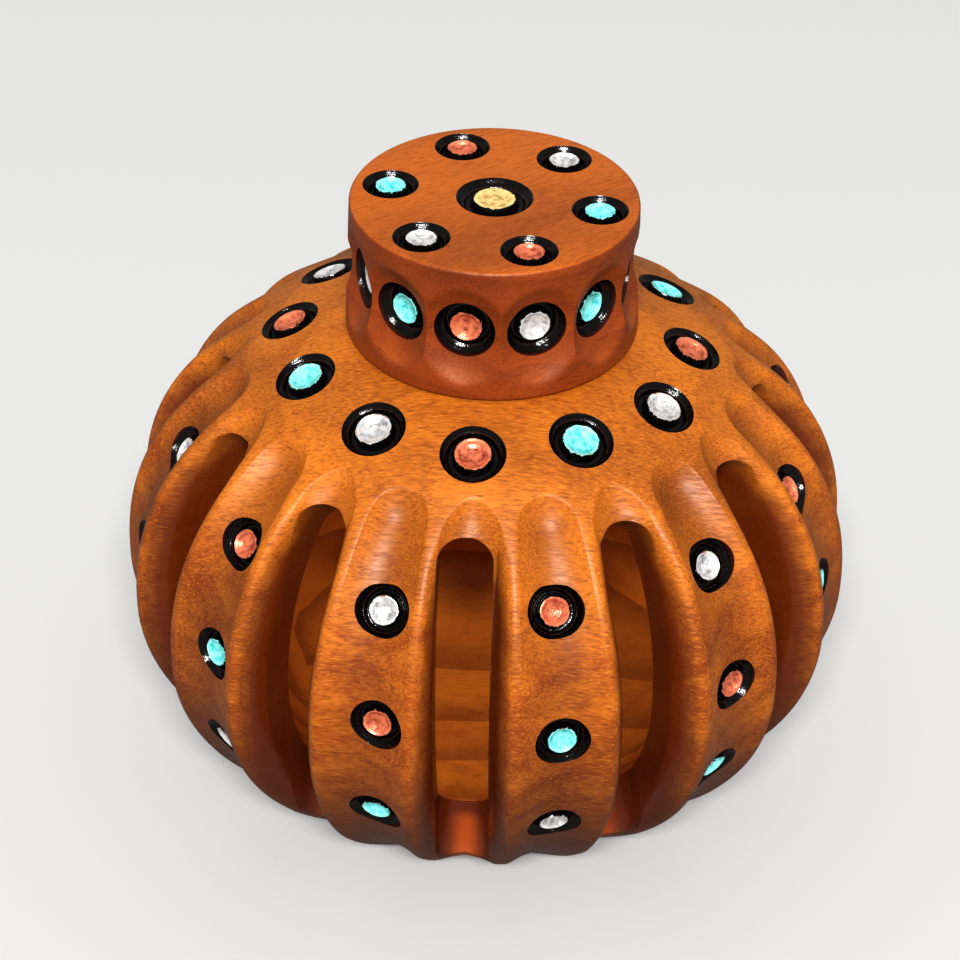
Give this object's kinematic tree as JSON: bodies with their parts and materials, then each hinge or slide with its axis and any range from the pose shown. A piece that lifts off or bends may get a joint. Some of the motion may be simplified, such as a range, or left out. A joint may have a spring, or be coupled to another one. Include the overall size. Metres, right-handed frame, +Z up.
{
  "type": "turned wood lidded vessel",
  "caption": "Squat globe-shaped turned wooden vessel with scooped and pierced flutes, cupped painted dots and a short round lift-off lid.",
  "frame": {"origin": "middle of the flat base, on the surface that the vessel stands on", "axes": "+Z up through the middle of the lid, -Y towards the front, where one pierced flute faces; +X to the right"},
  "size_m": [0.1488, 0.1488, 0.139],
  "materials": {
    "vessel_wood": "satin oiled cherry-like wood, warm orange brown, with fine grain",
    "lid_wood": "satin oiled wood, darker red brown, with fine grain"
  },
  "bodies": {
    "root": {"vessel": "vessel_wood", "lid": "lid_wood"}
  },
  "joints": []
}
